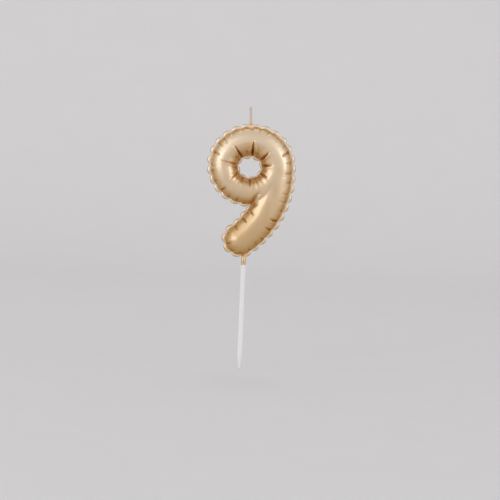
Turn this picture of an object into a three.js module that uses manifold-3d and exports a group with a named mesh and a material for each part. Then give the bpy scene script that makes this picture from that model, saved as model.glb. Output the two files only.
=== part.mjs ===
// Balloon number candle: a cast wax figure 9 shaped like a foil balloon, on a plastic stick.
// Millimetres, +Z up. The origin is on the stick's axis, at the surface the stick is pushed
// into. +X is to the right as the figure is read, and the figure's front faces -Y.

import * as THREE from 'three';
import Module from 'manifold-3d';
import { ConvexHull } from 'three/addons/math/ConvexHull.js';
import { mergeVertices } from 'three/addons/utils/BufferGeometryUtils.js';

// Ring of the 9, measured along the seam line
const RING_WIDTH = 41.8;
const RING_HEIGHT = 40;
const HOLE_WIDTH = 13.9;
const HOLE_HEIGHT = 12.8;
const HOLE_SHIFT_X = -0.9;
const HOLE_SHIFT_Z = -0.8;

// Tail of the 9: a tube along an arc that touches the ring's right side from inside
const TAIL_WIDTH = 16.1;
const TAIL_OUTER_RADIUS = 50.5;
const TAIL_TOUCH_ANGLE = 6.4;
const TAIL_END_ANGLE = -55.2;
const TAIL_END_WIDTH = 14.8;
const TAIL_END_DRIFT = 1.5;
const NOTCH_FILLET = 2.4;

// Thickness of the wax from front to back
const BODY_DEPTH = 13.6;
const JOIN_SHARPNESS = 3;
const SEAM_THICKNESS = 1;
const RIM_THICKNESS = 0.8;

// Scalloped flange round the seam. A lobe's reach depends on the way it points.
const LOBE_PITCH = 5.28;
const LOBE_REACH_UP = 2.1;
const LOBE_REACH_ASIDE = 2.7;
const LOBE_REACH_DOWN = 2.1;
const HOLE_LOBE_PITCH = 5.25;
const HOLE_LOBE_START = 82;
const HOLE_LOBE_REACH_UP = 1.4;
const HOLE_LOBE_REACH_ASIDE = 1.7;
const HOLE_LOBE_REACH_DOWN = 2.1;
const LOBE_ROOT = 0.35;
const LOBE_SWELL = 0.6;
const LOBE_FULLNESS = 0.6;
const FLANGE_CLEARANCE = 0.3;

// Small creases between every two lobes
const PUCKER_DEPTH = 0.9;
const PUCKER_LENGTH = 2.2;
const CREASE_HALF_WIDTH = 1.2;

// Stick
const STICK_DIAMETER = 2.5;
const STICK_SHOWN = 28;
const STICK_IN_CAKE = 33.5;
const STICK_IN_WAX = 13;
const STICK_OFFSET = 2.2;
const STICK_POINT_LENGTH = 7;
const STICK_POINT_DIAMETER = 0.8;
const ANCHOR_COUNT = 3;
const ANCHOR_PITCH = 3.2;
const ANCHOR_HEIGHT = 1.6;
const ANCHOR_PROUD = 0.5;

// Wick
const WICK_DIAMETER = 1.7;
const WICK_SHOWN = 11.5;
const WICK_IN_WAX = 10;
const WICK_OFFSET = -1;
const WICK_LEAN = -2.9;
const WICK_TIP_DIAMETER = 1.2;
const WICK_TIP_LENGTH = 0.4;

// Small rise of wax round the wick: its wall at heights above the ring's seam
const COLLAR_FOOT = { wall: 1.1, height: -2.4 };
const COLLAR_WAIST = { wall: 0.45, height: 0.8 };
const COLLAR_LIP = { wall: 0.25, height: 2.2 };

// Clearance that a cast-in piece keeps to the wax
const SEAT_GAP = 0.3;

// The crease that runs up from the notch between tail and ring
const NOTCH_CREASE_ANGLE = 47;
const NOTCH_CREASE_LENGTH = 8.6;
const NOTCH_CREASE_DEPTH = 2.6;
const NOTCH_CREASE_HALF_WIDTH = 1.9;

// Long creases outside: lobes clockwise from the wick, how far they run in, and their depth
const OUTER_CREASES = [
  { lobe: 1, length: 3.6, depth: 1.4 },
  { lobe: 5, length: 4.6, depth: 2.4 },
  { lobe: 6, length: 2.6, depth: 1.4 },
  { lobe: 7, length: 3.6, depth: 1.8 },
  { lobe: 10, length: 4.4, depth: 1.6 },
  { lobe: 12, length: 4.4, depth: 2.4 },
  { lobe: 13, length: 4, depth: 2.2 },
  { lobe: 15, length: 3.4, depth: 1.3 },
  { lobe: 19, length: 3.4, depth: 1.8 },
  { lobe: 22, length: 2.6, depth: 1.6 },
  { lobe: 23, length: 3.4, depth: 1.6 },
  { lobe: 26, length: 2.4, depth: 1.5 },
  { lobe: 27, length: 4.2, depth: 2.4 },
  { lobe: 29, length: 3, depth: 1.6 },
  { lobe: 31, length: 3.4, depth: 1.8 },
  { lobe: 32, length: 2.6, depth: 1.3 },
];

// Long creases that fan out of the hole: angle from +X, how far they run out, and their depth
const HOLE_CREASES = [
  { angle: 126, length: 8.2, depth: 2.6 },
  { angle: 81, length: 8.6, depth: 2.6 },
  { angle: 36, length: 6.8, depth: 2.4 },
  { angle: 9, length: 5, depth: 2 },
  { angle: -29, length: 4, depth: 1.8 },
  { angle: -63, length: 2.6, depth: 1.2 },
  { angle: -87, length: 4.2, depth: 1.6 },
  { angle: -119, length: 2.6, depth: 1.2 },
  { angle: -152, length: 5.4, depth: 1.6 },
  { angle: 168, length: 8.6, depth: 2 },
];

// Fineness of the surface
const TRACE_STEP = 0.1;
const SETTLE_ROUNDS = 6;
const MERGE_DISTANCE = 1e-4;
const ROUND_SIDES = 20;
const LOBE_EDGE_STEPS = 8;
const LOBE_MIDDLE_PLACES = [0.28, 0.5, 0.72];
const SEAM_STEPS = 4;
const INSIDE_ROWS = [
  { inset: 0.35, steps: 4, spacing: 0.5 },
  { inset: 1, steps: 4, spacing: 0.6 },
  { inset: 2, steps: 3, spacing: 0.9 },
  { inset: 3.4, steps: 2, spacing: 1.2 },
  { inset: 5, steps: 2, spacing: 1.4 },
  { inset: 6.8, steps: 2, spacing: 1.6 },
];
const ROW_TOLERANCE = 0.9;

const COLOURS = {
  goldLacquer: { color: '#c9a56c', roughness: 0.32, metalness: 0.85 },
  cotton: { color: '#efe6d0', roughness: 0.9, metalness: 0 },
  whitePlastic: { color: '#e9e8e6', roughness: 0.4, metalness: 0 },
};

const ringHalf = { x: RING_WIDTH / 2, z: RING_HEIGHT / 2 };
const holeHalf = { x: HOLE_WIDTH / 2, z: HOLE_HEIGHT / 2 };
const radians = THREE.MathUtils.degToRad;

// In the figure's own frame the ring's centre is the origin. The tail's arc has its centre on
// the line from the ring's centre away from the point where the two outlines touch.
const touchAngle = radians(TAIL_TOUCH_ANGLE);
const endAngle = radians(TAIL_END_ANGLE);
const ringRadiusAtTouch =
  1 / Math.hypot(Math.cos(touchAngle) / ringHalf.x, Math.sin(touchAngle) / ringHalf.z);
const arcCentre = new THREE.Vector2(Math.cos(touchAngle), Math.sin(touchAngle))
  .multiplyScalar(ringRadiusAtTouch - TAIL_OUTER_RADIUS);

// Half width and middle radius of the tail, a share t of the way from the touch to the end
function tailSection(t) {
  return {
    halfWidth: (TAIL_WIDTH + (TAIL_END_WIDTH - TAIL_WIDTH) * t * t) / 2,
    radius: TAIL_OUTER_RADIUS - TAIL_WIDTH / 2 + TAIL_END_DRIFT * t * t,
  };
}

const tailEnd = new THREE.Vector2(Math.cos(endAngle), Math.sin(endAngle))
  .multiplyScalar(tailSection(1).radius).add(arcCentre);

// Distance from the tail's middle line, the half width there, and which side of it a place is
function tailDistance(x, z) {
  const radius = Math.hypot(x - arcCentre.x, z - arcCentre.y);
  const angle = Math.atan2(z - arcCentre.y, x - arcCentre.x);
  const t = THREE.MathUtils.clamp((touchAngle - angle) / (touchAngle - endAngle), 0, 1);
  const section = tailSection(t);
  const nearestAngle = THREE.MathUtils.clamp(angle, endAngle, touchAngle);
  const distance = nearestAngle === angle
    ? Math.abs(radius - section.radius)
    : Math.hypot(
      x - arcCentre.x - section.radius * Math.cos(nearestAngle),
      z - arcCentre.y - section.radius * Math.sin(nearestAngle),
    );
  return { distance, halfWidth: section.halfWidth, isInner: radius < section.radius };
}

// Distance inside an ellipse, true to first order near its edge
function ellipseInset(x, z, half) {
  const reach = Math.hypot(x / half.x, z / half.z);
  const slope = Math.hypot(x / half.x ** 2, z / half.z ** 2) / reach;
  return (1 - reach) / slope;
}

const ringInset = (x, z) => ellipseInset(x, z, ringHalf);
const holeInset = (x, z) => -ellipseInset(x - HOLE_SHIFT_X, z - HOLE_SHIFT_Z, holeHalf);

// Distance inside the outline of ring and tail together, rounded in the notch between them
function outlineInset(x, z) {
  const tail = tailDistance(x, z);
  const insideTail = tail.halfWidth - tail.distance;
  const insideRing = ringInset(x, z);
  const apart = Math.abs(insideTail - insideRing);
  const fillet = tail.isInner ? Math.max(0, 1 - apart / NOTCH_FILLET) : 0;
  return Math.max(insideTail, insideRing) + NOTCH_FILLET / 4 * fillet ** 2;
}

// A closed line round the wax, kept as close points with their distance along it
class SeamLine {
  constructor(inset, start, lobePitch, lobeReach) {
    this.inset = inset;
    this.lobeReach = lobeReach;
    this.points = this.trace(start);
    this.lengths = [0];
    this.points.forEach((point, i) => {
      const next = this.points[(i + 1) % this.points.length];
      this.lengths.push(this.lengths[i] + point.distanceTo(next));
    });
    this.length = this.lengths.at(-1);
    this.lobeCount = Math.round(this.length / lobePitch);
    this.lobePitch = this.length / this.lobeCount;
  }

  // Direction into the wax, square to the line
  inward(point) {
    const step = TRACE_STEP / 10;
    return new THREE.Vector2(
      this.inset(point.x + step, point.y) - this.inset(point.x - step, point.y),
      this.inset(point.x, point.y + step) - this.inset(point.x, point.y - step),
    ).divideScalar(2 * step);
  }

  // The nearest point at which the inset is zero
  settle(point) {
    for (let i = 0; i < SETTLE_ROUNDS; i++) {
      const slope = this.inward(point);
      point.addScaledVector(slope, -this.inset(point.x, point.y) / slope.lengthSq());
    }
    return point;
  }

  trace(start) {
    const points = [this.settle(start.clone())];
    do {
      const point = points.at(-1);
      const slope = this.inward(point).normalize();
      points.push(this.settle(new THREE.Vector2(-slope.y, slope.x).multiplyScalar(TRACE_STEP)
        .add(point)));
    } while (points.length < 3 || points.at(-1).distanceTo(points[0]) > TRACE_STEP);
    return points;
  }

  // Point and inward direction at a place counted in lobes from the start
  at(lobes) {
    const along = THREE.MathUtils.euclideanModulo(lobes, this.lobeCount) * this.lobePitch;
    let low = 0;
    let high = this.points.length;
    while (high - low > 1) {
      const middle = (low + high) >> 1;
      if (this.lengths[middle] <= along) low = middle;
      else high = middle;
    }
    const share = (along - this.lengths[low]) / (this.lengths[low + 1] - this.lengths[low]);
    const next = this.points[(low + 1) % this.points.length];
    const point = this.points[low].clone().lerp(next, share);
    return { point, inward: this.inward(point).normalize() };
  }

  nearest(x, z) {
    let best = 0;
    let bestDistance = Infinity;
    for (let i = 0; i < this.points.length; i++) {
      const distance = (this.points[i].x - x) ** 2 + (this.points[i].y - z) ** 2;
      if (distance < bestDistance) {
        best = i;
        bestDistance = distance;
      }
    }
    return { lobes: this.lengths[best] / this.lobePitch, distance: Math.sqrt(bestDistance) };
  }
}

// Point of the hole's edge at an angle from +X
const onHole = (angle) => new THREE.Vector2(
  HOLE_SHIFT_X + holeHalf.x * Math.cos(radians(angle)),
  HOLE_SHIFT_Z + holeHalf.z * Math.sin(radians(angle)),
);

const outerSeam = new SeamLine(
  outlineInset,
  new THREE.Vector2(WICK_OFFSET, ringHalf.z),
  LOBE_PITCH,
  { up: LOBE_REACH_UP, aside: LOBE_REACH_ASIDE, down: LOBE_REACH_DOWN },
);
const holeSeam = new SeamLine(
  holeInset,
  onHole(HOLE_LOBE_START),
  HOLE_LOBE_PITCH,
  { up: HOLE_LOBE_REACH_UP, aside: HOLE_LOBE_REACH_ASIDE, down: HOLE_LOBE_REACH_DOWN },
);

// Place across a lobe, from -1 at one root to 1 at the next
const acrossLobe = (lobes) => 2 * (lobes - Math.floor(lobes)) - 1;

// How far the flange stands out from a seam at a place along it: an arch over each lobe, cut
// short where two flanges meet in the notch
function flangeReach(seam, lobes) {
  const { point, inward } = seam.at(lobes);
  const { up, aside, down } = seam.lobeReach;
  const middle = THREE.MathUtils.lerp(inward.y < 0 ? up : down, aside, Math.abs(inward.x));
  const arch = LOBE_ROOT + (middle - LOBE_ROOT) * (1 - acrossLobe(lobes) ** 2) ** LOBE_FULLNESS;
  const isClear = (reach) => {
    const ahead = point.clone().addScaledVector(inward, -reach - FLANGE_CLEARANCE);
    return seam.nearest(ahead.x, ahead.y).distance > reach + FLANGE_CLEARANCE - TRACE_STEP;
  };
  let reach = LOBE_ROOT;
  while (reach < arch && isClear(reach + TRACE_STEP)) reach += TRACE_STEP;
  return Math.min(reach, arch);
}

// Every crease that starts at a seam: a pucker at each root between lobes, and the long ones
outerSeam.longCreases = OUTER_CREASES;
holeSeam.longCreases = HOLE_CREASES.map(({ angle, length, depth }) => {
  const foot = onHole(angle);
  return { lobe: holeSeam.nearest(foot.x, foot.y).lobes, length, depth };
});
for (const seam of [outerSeam, holeSeam]) {
  const puckers = Array.from({ length: seam.lobeCount }, (_, lobe) => (
    { lobe, length: PUCKER_LENGTH, depth: PUCKER_DEPTH }
  ));
  seam.creases = [...puckers, ...seam.longCreases];
}

// Depth of the creases at a place along a seam, where inset is the distance from it
function creaseDepth(seam, lobes, inset) {
  const depths = seam.creases.map((crease) => {
    const round = THREE.MathUtils.euclideanModulo(lobes - crease.lobe, seam.lobeCount);
    const away = Math.min(round, seam.lobeCount - round) * seam.lobePitch;
    const across = Math.max(0, 1 - away / CREASE_HALF_WIDTH);
    return crease.depth * across * Math.max(0, 1 - inset / crease.length);
  });
  return Math.max(...depths);
}

// The notch is where the outline, followed clockwise, last passes from the tail to the ring
function isOnTail({ x, y }) {
  const { distance, halfWidth } = tailDistance(x, y);
  return halfWidth - distance > ringInset(x, y);
}
const notch = outerSeam.points.findLast((point, i) => (
  i > 0 && isOnTail(outerSeam.points[i - 1]) && !isOnTail(point)
));
const notchDirection = new THREE.Vector2(1, 0)
  .rotateAround(new THREE.Vector2(), radians(NOTCH_CREASE_ANGLE));

function notchCreaseDepth(x, z) {
  const offset = new THREE.Vector2(x, z).sub(notch);
  const along = offset.dot(notchDirection);
  if (along < 0 || along > NOTCH_CREASE_LENGTH) return 0;
  const across = Math.abs(offset.cross(notchDirection)) / NOTCH_CREASE_HALF_WIDTH;
  return NOTCH_CREASE_DEPTH * Math.max(0, 1 - across) * (1 - along / NOTCH_CREASE_LENGTH);
}

// Share of the full thickness, squared: an ellipse across the ring and one across the tail. They
// are joined as odds, so that the join keeps both the seams' zero and the crowns' one.
function roundness(x, z) {
  const outer = ringInset(x, z);
  const inner = holeInset(x, z);
  const ring = outer > 0 && inner > 0 ? 4 * outer * inner / (outer + inner) ** 2 : 0;
  if (inner < outer) return ring;
  const { distance, halfWidth } = tailDistance(x, z);
  const tail = Math.max(0, 1 - (distance / halfWidth) ** 2);
  const odds = (share) => (share / (1 - share)) ** JOIN_SHARPNESS;
  const together = (odds(ring) + odds(tail)) ** (1 / JOIN_SHARPNESS);
  return 1 / (1 + 1 / together);
}

// Half the thickness of the wax at a place in the figure's plane
function halfDepth(x, z) {
  const outer = outerSeam.nearest(x, z);
  const hole = holeSeam.nearest(x, z);
  const [seam, near] = outer.distance < hole.distance ? [outerSeam, outer] : [holeSeam, hole];
  if (seam.inset(x, z) < 0) {
    const share = Math.min(1, near.distance / flangeReach(seam, near.lobes));
    const swell = LOBE_SWELL * Math.sin(Math.PI * share) * (1 - acrossLobe(near.lobes) ** 2);
    return THREE.MathUtils.lerp(SEAM_THICKNESS, RIM_THICKNESS, share) / 2 + swell;
  }
  const crease = Math.max(creaseDepth(seam, near.lobes, near.distance), notchCreaseDepth(x, z));
  return Math.max(SEAM_THICKNESS / 2, BODY_DEPTH / 2 * Math.sqrt(roundness(x, z)) - crease);
}

// A point at a place along a seam and a distance inside it, or outside where that is negative
function seamPoint(seam, lobes, inset) {
  const { point, inward } = seam.at(lobes);
  return point.addScaledVector(inward, inset);
}

function flangeEdge(seam) {
  return Array.from({ length: seam.lobeCount * LOBE_EDGE_STEPS }, (_, i) => {
    const lobes = i / LOBE_EDGE_STEPS;
    return seamPoint(seam, lobes, -flangeReach(seam, lobes));
  });
}

// Points of the figure's plane: the flange's edge, the middles of its lobes, the long creases
// with a shoulder at each side, and rows inside the seams
function planePoints(seams, edges) {
  const points = edges.flat();
  const add = (point, spacing) => {
    if (points.every((other) => other.distanceTo(point) > spacing)) points.push(point);
  };
  const addInside = (seam, lobes, inset, spacing) => {
    const point = seamPoint(seam, lobes, inset);
    if (seams.every((other) => other.inset(point.x, point.y) > inset * ROW_TOLERANCE - TRACE_STEP)) {
      add(point, spacing);
    }
  };
  for (const seam of seams) {
    for (let lobe = 0; lobe < seam.lobeCount; lobe++) {
      for (const place of LOBE_MIDDLE_PLACES) {
        add(seamPoint(seam, lobe + place, -flangeReach(seam, lobe + place) / 2), LOBE_ROOT);
      }
      for (let i = 0; i < SEAM_STEPS; i++) {
        addInside(seam, lobe + i / SEAM_STEPS, 0, LOBE_ROOT / 2);
      }
    }
  }
  for (let along = 0; along < NOTCH_CREASE_LENGTH; along += NOTCH_CREASE_HALF_WIDTH) {
    for (const side of [0, -1, 1]) {
      const across = new THREE.Vector2(-notchDirection.y, notchDirection.x);
      const point = notch.clone().addScaledVector(notchDirection, along)
        .addScaledVector(across, side * NOTCH_CREASE_HALF_WIDTH);
      if (outlineInset(point.x, point.y) > LOBE_ROOT) add(point, LOBE_ROOT);
    }
  }
  for (const seam of seams) {
    const shoulder = CREASE_HALF_WIDTH / seam.lobePitch;
    for (const { lobe, length } of seam.longCreases) {
      for (const { inset } of INSIDE_ROWS.filter((row) => row.inset < length + CREASE_HALF_WIDTH)) {
        for (const side of [0, -1, 1]) addInside(seam, lobe + side * shoulder, inset, LOBE_ROOT);
      }
    }
  }
  for (const { inset, steps, spacing } of INSIDE_ROWS) {
    for (const seam of seams) {
      for (let i = 0; i < seam.lobeCount * steps; i++) addInside(seam, i / steps, inset, spacing);
    }
  }
  return points;
}

function isInside(polygon, x, z) {
  let inside = false;
  polygon.forEach((a, i) => {
    const b = polygon[(i + 1) % polygon.length];
    if (a.y > z !== b.y > z && x < a.x + (b.x - a.x) * (z - a.y) / (b.y - a.y)) inside = !inside;
  });
  return inside;
}

// Triangles between plane points: the lower hull of the points lifted onto a paraboloid
function planeTriangles(points, outerEdge, holeEdge) {
  const lifted = points.map(({ x, y }) => new THREE.Vector3(x, y, (x * x + y * y) / RING_WIDTH));
  const indices = new Map(lifted.map((point, i) => [point, i]));
  const triangles = [];
  for (const face of new ConvexHull().setFromPoints(lifted).faces) {
    if (face.normal.z >= 0) continue;
    const corners = [face.edge.prev, face.edge, face.edge.next].map((edge) => edge.head().point);
    const x = (corners[0].x + corners[1].x + corners[2].x) / 3;
    const z = (corners[0].y + corners[1].y + corners[2].y) / 3;
    if (!isInside(outerEdge, x, z) || isInside(holeEdge, x, z)) continue;
    triangles.push(corners.reverse().map((corner) => indices.get(corner)));
  }
  return triangles;
}

// A closed shell: the front sheet, its mirror image at the back, and the rim that joins them
function figureGeometry() {
  const seams = [outerSeam, holeSeam];
  const edges = seams.map(flangeEdge);
  const points = planePoints(seams, edges);
  const triangles = planeTriangles(points, edges[0], edges[1]);
  const depths = points.map((point) => halfDepth(point.x, point.y));
  const positions = [
    ...points.flatMap((point, i) => [point.x, -depths[i], point.y]),
    ...points.flatMap((point, i) => [point.x, depths[i], point.y]),
  ];
  const back = points.length;
  const faces = [];
  const open = new Map();
  for (const [a, b, c] of triangles) {
    faces.push(a, b, c, back + a, back + c, back + b);
    for (const [from, to] of [[a, b], [b, c], [c, a]]) {
      if (!open.delete(`${to},${from}`)) open.set(`${from},${to}`, [from, to]);
    }
  }
  for (const [from, to] of open.values()) {
    faces.push(to, from, back + from, to, back + from, back + to);
  }
  const geometry = new THREE.BufferGeometry();
  geometry.setAttribute('position', new THREE.Float32BufferAttribute(positions, 3));
  geometry.setIndex(faces);
  return geometry;
}

// Joining and cutting of closed shapes
const wasm = await Module();
wasm.setup();

function toSolid(geometry) {
  const bare = geometry.clone();
  bare.deleteAttribute('normal');
  bare.deleteAttribute('uv');
  const merged = mergeVertices(bare, MERGE_DISTANCE);
  const index = merged.index.array;
  const corners = [];
  for (let i = 0; i < index.length; i += 3) {
    const [a, b, c] = index.slice(i, i + 3);
    if (a !== b && b !== c && c !== a) corners.push(a, b, c);
  }
  return new wasm.Manifold(new wasm.Mesh({
    numProp: 3,
    vertProperties: new Float32Array(merged.attributes.position.array),
    triVerts: new Uint32Array(corners),
  }));
}

function fromSolid(solid) {
  const mesh = solid.getMesh();
  const geometry = new THREE.BufferGeometry();
  geometry.setAttribute('position', new THREE.Float32BufferAttribute(mesh.vertProperties, 3));
  geometry.setIndex(Array.from(mesh.triVerts));
  geometry.computeVertexNormals();
  return geometry;
}

// A turned shape about Z from [radius, height] pairs
function turned(profile) {
  const points = profile.map(([radius, height]) => new THREE.Vector2(radius, height));
  return new THREE.LatheGeometry(points, ROUND_SIDES).rotateX(Math.PI / 2);
}

// Where the stick meets the wax, and where the row's origin is, in the figure's frame
const stickX = tailEnd.x + STICK_OFFSET;
const stickEntry = outerSeam.settle(new THREE.Vector2(stickX, tailEnd.y - TAIL_END_WIDTH / 2));
const figureShift = new THREE.Vector3(-stickX, 0, STICK_SHOWN - stickEntry.y);
const wickFoot = outerSeam.at(0).point;

// The stick's head with its anchor rings, or the socket round it when there is a gap
function stickHead(foot, gap) {
  const radius = STICK_DIAMETER / 2 + gap;
  const top = STICK_SHOWN + STICK_IN_WAX;
  const profile = [[0, foot], [radius, foot]];
  for (let i = ANCHOR_COUNT; i > 0; i--) {
    const height = top - i * ANCHOR_PITCH;
    profile.push([radius, height - gap], [radius + ANCHOR_PROUD, height - gap]);
    profile.push([radius, height + ANCHOR_HEIGHT + gap]);
  }
  profile.push([radius, top + gap], [0, top + gap]);
  return profile;
}

function stickGeometry() {
  const pointTop = STICK_POINT_LENGTH - STICK_IN_CAKE;
  return turned([
    [0, -STICK_IN_CAKE],
    [STICK_POINT_DIAMETER / 2, -STICK_IN_CAKE],
    ...stickHead(pointTop, 0).slice(1),
  ]);
}

// The wick leans, so it and its socket are turned about the point where it leaves the wax
function placeAtWick(geometry) {
  return geometry.rotateY(radians(WICK_LEAN)).translate(wickFoot.x, 0, wickFoot.y);
}

function wickGeometry() {
  const radius = WICK_DIAMETER / 2;
  const profile = [
    [0, -WICK_IN_WAX],
    [radius, -WICK_IN_WAX],
    [radius, WICK_SHOWN - WICK_TIP_LENGTH],
    [WICK_TIP_DIAMETER / 2, WICK_SHOWN],
    [0, WICK_SHOWN],
  ];
  return placeAtWick(turned(profile)).translate(figureShift.x, 0, figureShift.z);
}

function waxGeometry() {
  const wickRadius = WICK_DIAMETER / 2 + SEAT_GAP;
  const wickSocket = placeAtWick(turned([
    [0, -WICK_IN_WAX - SEAT_GAP],
    [wickRadius, -WICK_IN_WAX - SEAT_GAP],
    [wickRadius, COLLAR_LIP.height + SEAT_GAP],
    [0, COLLAR_LIP.height + SEAT_GAP],
  ]));
  const collarSides = [COLLAR_FOOT, COLLAR_WAIST, COLLAR_LIP]
    .map(({ wall, height }) => [wickRadius + wall, height]);
  const wickCollar = placeAtWick(turned([
    [0, COLLAR_FOOT.height],
    ...collarSides,
    [0, COLLAR_LIP.height],
  ]));
  const stickSocket = turned(stickHead(0, SEAT_GAP));
  const placed = toSolid(figureGeometry()).add(toSolid(wickCollar)).subtract(toSolid(wickSocket))
    .translate(figureShift.toArray()).subtract(toSolid(stickSocket));
  return fromSolid(placed);
}

function piece(name, geometry, finish) {
  const mesh = new THREE.Mesh(geometry, new THREE.MeshStandardMaterial(finish));
  mesh.name = name;
  return mesh;
}

const candle = new THREE.Group();
candle.add(
  piece('wax_body', waxGeometry(), COLOURS.goldLacquer),
  piece('wick', wickGeometry(), COLOURS.cotton),
  piece('stick', stickGeometry(), COLOURS.whitePlastic),
);

export default candle;
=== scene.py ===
import math

import bmesh
import bpy
import numpy as np
from mathutils import Matrix, Vector
from mathutils.geometry import delaunay_2d_cdt


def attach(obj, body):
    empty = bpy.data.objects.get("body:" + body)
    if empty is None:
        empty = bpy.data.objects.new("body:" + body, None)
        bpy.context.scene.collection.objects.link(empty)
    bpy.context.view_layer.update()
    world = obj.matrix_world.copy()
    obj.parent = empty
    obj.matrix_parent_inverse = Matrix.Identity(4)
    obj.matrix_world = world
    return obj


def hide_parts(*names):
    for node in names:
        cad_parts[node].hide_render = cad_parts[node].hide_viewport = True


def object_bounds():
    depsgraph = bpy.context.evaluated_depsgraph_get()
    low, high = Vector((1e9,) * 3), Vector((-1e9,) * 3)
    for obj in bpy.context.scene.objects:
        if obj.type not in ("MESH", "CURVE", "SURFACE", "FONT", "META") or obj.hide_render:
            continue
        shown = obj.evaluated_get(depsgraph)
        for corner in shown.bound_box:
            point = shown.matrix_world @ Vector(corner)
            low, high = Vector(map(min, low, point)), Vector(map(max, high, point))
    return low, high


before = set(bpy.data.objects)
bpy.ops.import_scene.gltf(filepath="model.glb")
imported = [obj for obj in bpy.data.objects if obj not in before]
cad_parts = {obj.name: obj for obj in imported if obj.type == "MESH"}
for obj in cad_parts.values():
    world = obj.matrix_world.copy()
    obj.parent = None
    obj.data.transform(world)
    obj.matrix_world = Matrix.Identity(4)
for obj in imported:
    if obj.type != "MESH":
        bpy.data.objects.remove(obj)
cad_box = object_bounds()

MM = 0.001
rng = np.random.default_rng(9)

# Ring of the 9, measured along the seam line
RING_WIDTH = 41.8
RING_HEIGHT = 40.0
HOLE_WIDTH = 13.9
HOLE_HEIGHT = 12.8
HOLE_SHIFT = np.array([-0.9, -0.8])

# Tail of the 9: a tube along an arc that touches the ring's right side from inside
TAIL_WIDTH = 16.1
TAIL_OUTER_RADIUS = 50.5
TAIL_TOUCH_ANGLE = math.radians(6.4)
TAIL_END_ANGLE = math.radians(-55.2)
TAIL_END_WIDTH = 14.8
TAIL_END_DRIFT = 1.5
NOTCH_FILLET = 2.4

# Thickness from front to back. The crown stays a little under the solid's, for the waves on it.
BODY_DEPTH = 13.6
CROWN_SHARE = 0.985
SEAM_THICKNESS = 1.0
JOIN_SHARPNESS = 3

# Scalloped flange round the seam, with the reach of lobes that point up, aside and down
LOBE_PITCH = 5.28
LOBE_REACHES = (2.1, 2.7, 2.1)
HOLE_LOBE_PITCH = 5.25
HOLE_LOBE_START = math.radians(82)
HOLE_LOBE_REACHES = (1.4, 1.7, 2.1)
LOBE_ROOT = 0.35
LOBE_FULLNESS = 0.6
LOBE_SWELL = 0.55
LOBE_SWELL_POWER = 0.8
LOBE_VARIATION = 0.1
RIM_THICKNESS = 0.8
RIM_SHARE = 0.16
FLANGE_CLEARANCE = 0.3

# Painted shade on the gold, from 0 to 1: a dark line along the seam, darkest between two lobes,
# a soft band beside it that is wider where the wax hangs over the seam and faces down, the bottoms
# of the creases, and the flange's edge
SEAM_LINE_WIDTH = 0.45
SEAM_LINE_SHARE = 0.78
OUTER_BAND = (1.1, 2.2)
HOLE_BAND = (2.3, 5.2)
BAND_SHARE = 0.72
CREASE_LINE_WIDTH = 0.28
CREASE_BAND_WIDTH = 0.75
CREASE_BAND_SHARE = 0.5
CREASE_SHADE_FADE = 0.6
CREASE_SHADE_FULL_DEPTH = 3.0
OUTLINE_SHARE = 1.0
OUTLINE_START = 0.76
OUTLINE_END = 0.96

# Painted highlight on the flange's lobes, which makes them paler: below 0 in the same measure
OUTER_HIGHLIGHT_SHARE = 0.7
HOLE_HIGHLIGHT_SHARE = 0.25

# Fine pleats across the seam, as height and reach, and the slow waves of the whole surface.
# Both grow to their full height over the start's length from the seam.
OUTER_PLEATS = (0.14, 2.6)
HOLE_PLEATS = (0.38, 4.4)
PLEATS_PER_LOBE = (1.6, 2.1, 2.7, 3.2)
PLEAT_START = 1.0
UNDULATION_HEIGHT = 0.09
UNDULATION_SIZE = 7
UNDULATION_START = 3.0
UNDULATION_COUNT = 14
UNDULATION_RANGE = (0.7, 1.5)

# Small creases between every two lobes, where no larger crease is within the clearance in lobes
PUCKER_LENGTH = 2.6
PUCKER_DEPTH = 1.5
PUCKER_HALF_WIDTH = 1.1
PUCKER_CLEARANCE = 0.45
PUCKER_SHIFT = 0.1
PUCKER_SLANT = 10
PUCKER_LENGTH_VARIATION = 0.3
PUCKER_DEPTH_VARIATION = 0.25

# How a crease narrows and dies out along its line, and the raised folds beside it
CREASE_FADE = 0.8
CREASE_TAPER = 0.2
CREASE_SLIT_SHARE = 0.4
FOLD_WIDTH = 0.55
FOLD_CLOSING = 0.4
FOLD_FADE = 0.7
FOLD_START = 1 / 3

# Stick, a moulded pick with anchor rings inside the wax. Its neck is dipped in the lacquer.
STICK_DIAMETER = 2.5
STICK_SHOWN = 28.0
STICK_OFFSET = 2.2
STICK_IN_WAX = 13.0
STICK_POINT_LENGTH = 7.0
STICK_POINT_DIAMETER = 0.8
STICK_EDGE = 0.15
STICK_SIDES = 48
STICK_CAP_RADIUS = 0.1
PARTING_LINE = 0.03
PARTING_LINE_START = 0.98
PARTING_LINE_LEAST_RADIUS = 1.0
ANCHOR_COUNT = 3
ANCHOR_PITCH = 3.2
ANCHOR_HEIGHT = 1.6
ANCHOR_PROUD = 0.5
NECK_LENGTH = 6.0
NECK_IN_WAX = 1.0
NECK_FILM = 0.05
NECK_EDGE_FILM_SHARE = 0.3
NECK_EDGE_HEIGHT = 0.35
NECK_EVEN_HEIGHT = 2.0
NECK_RAGGED = 0.35
NECK_EDGE_WAVES = (1, 2, 3, 5, 8)
NECK_WAVE_SIZES = (0.3, 1)

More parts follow.
